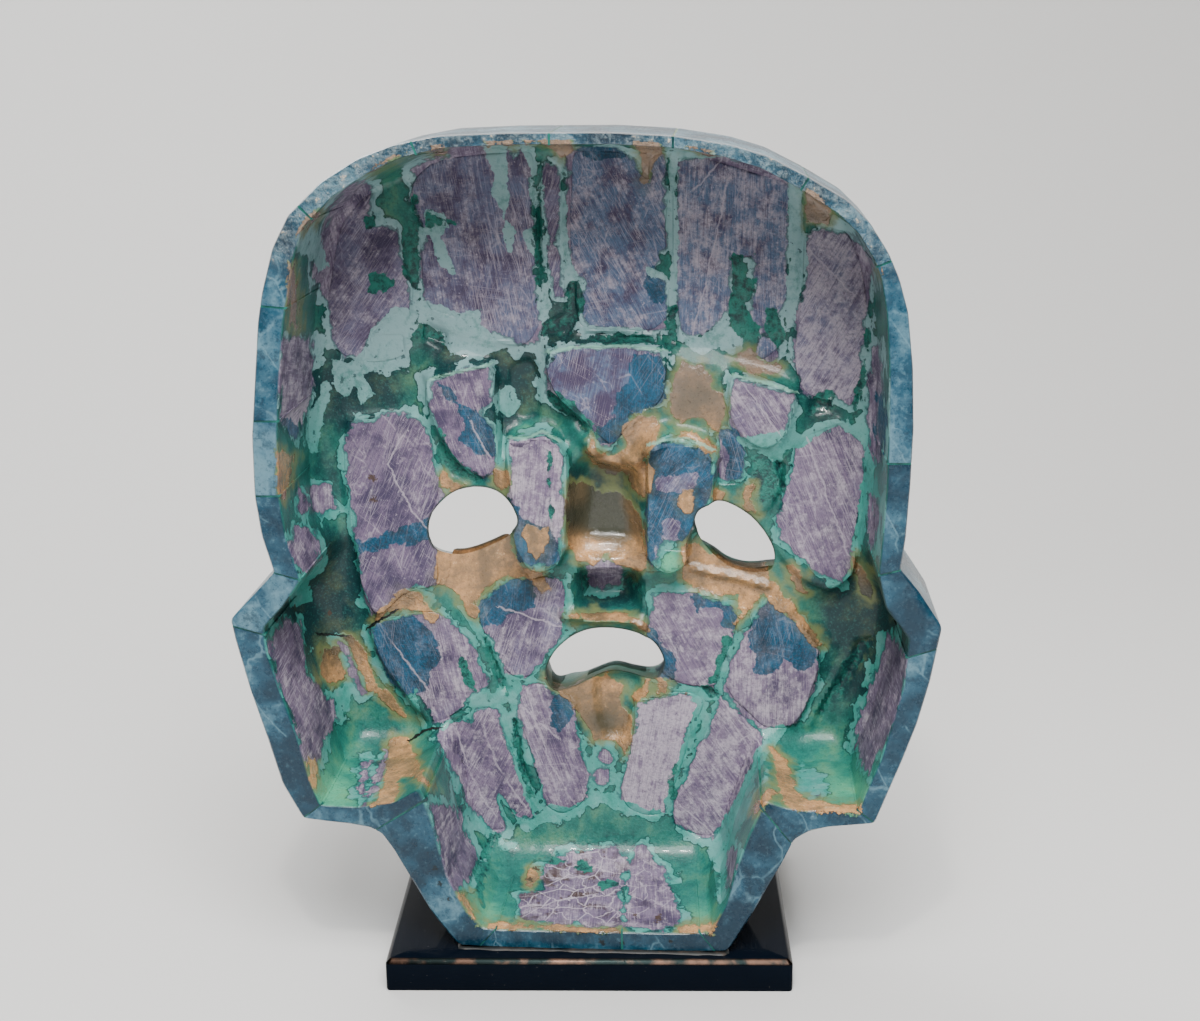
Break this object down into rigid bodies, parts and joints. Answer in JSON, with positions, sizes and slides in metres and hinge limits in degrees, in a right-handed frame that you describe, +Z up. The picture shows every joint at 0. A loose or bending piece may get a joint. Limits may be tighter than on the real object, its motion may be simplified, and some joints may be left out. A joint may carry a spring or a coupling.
{
  "type": "stone mosaic mask on a slab",
  "caption": "Life-size hollow face mask of ground stone plates set in coloured resin, with open eyes and mouth, standing upright on a low polished black slab.",
  "frame": {"origin": "middle of the slab's underside, which is also the middle of the whole part's box", "axes": "+Z up along the face's height, -Y out of the face, +X towards the mask's own left"},
  "size_m": [0.2042, 0.1, 0.2483],
  "materials": {
    "ground_stone": "ground matt with scratches behind, polished blue-grey in front",
    "stone": "polished blue-grey with pale veins",
    "pale_stone": "polished pale grey",
    "resin": "glossy cast resin in teal, mint and tan",
    "slab": "polished black"
  },
  "bodies": {
    "root": {"forehead_outer_left": "ground_stone", "forehead_inner_left": "ground_stone", "forehead_sliver": "ground_stone", "forehead_middle": "ground_stone", "forehead_inner_right": "ground_stone", "forehead_outer_right": "ground_stone", "brow_left": "ground_stone", "glabella": "ground_stone", "brow_right": "ground_stone", "eyelid_right": "ground_stone", "temple_left": "ground_stone", "temple_right": "ground_stone", "nose_side_left": "ground_stone", "nose_side_right": "ground_stone", "cheek_outer_left": "ground_stone", "cheek_inner_left": "ground_stone", "cheek_inner_right": "ground_stone", "cheek_outer_right": "ground_stone", "jaw_outer_left": "ground_stone", "jaw_inner_left": "ground_stone", "jaw_inner_right": "ground_stone", "jaw_outer_right": "ground_stone", "brow_hollow_left": "ground_stone", "brow_hollow_right": "ground_stone", "brow_outer_left": "ground_stone", "nose_bridge": "ground_stone", "nose": "ground_stone", "under_eye_left": "ground_stone", "under_eye_right": "ground_stone", "lip_middle": "ground_stone", "chin_front_left": "ground_stone", "chin_front_right": "ground_stone", "ear_left": "ground_stone", "ear_right": "ground_stone", "chin_wall_left": "stone", "jaw_wall_left": "stone", "ear_wall_lower_left": "stone", "ear_wall_outer_left": "stone", "ear_wall_upper_left": "stone", "temple_wall_lower_left": "stone", "temple_wall_pale_left": "pale_stone", "temple_wall_middle_left": "stone", "temple_wall_upper_left": "stone", "crown_wall_outer_left": "stone", "crown_wall_inner_left": "stone", "crown_wall_middle": "stone", "crown_wall_inner_right": "stone", "crown_wall_outer_right": "stone", "temple_wall_upper_right": "stone", "temple_wall_lower_right": "stone", "ear_wall_upper_right": "stone", "ear_wall_outer_right": "stone", "ear_wall_lower_right": "stone", "jaw_wall_right": "stone", "chin_wall_right": "stone", "resin": "resin", "slab": "slab"}
  },
  "joints": []
}
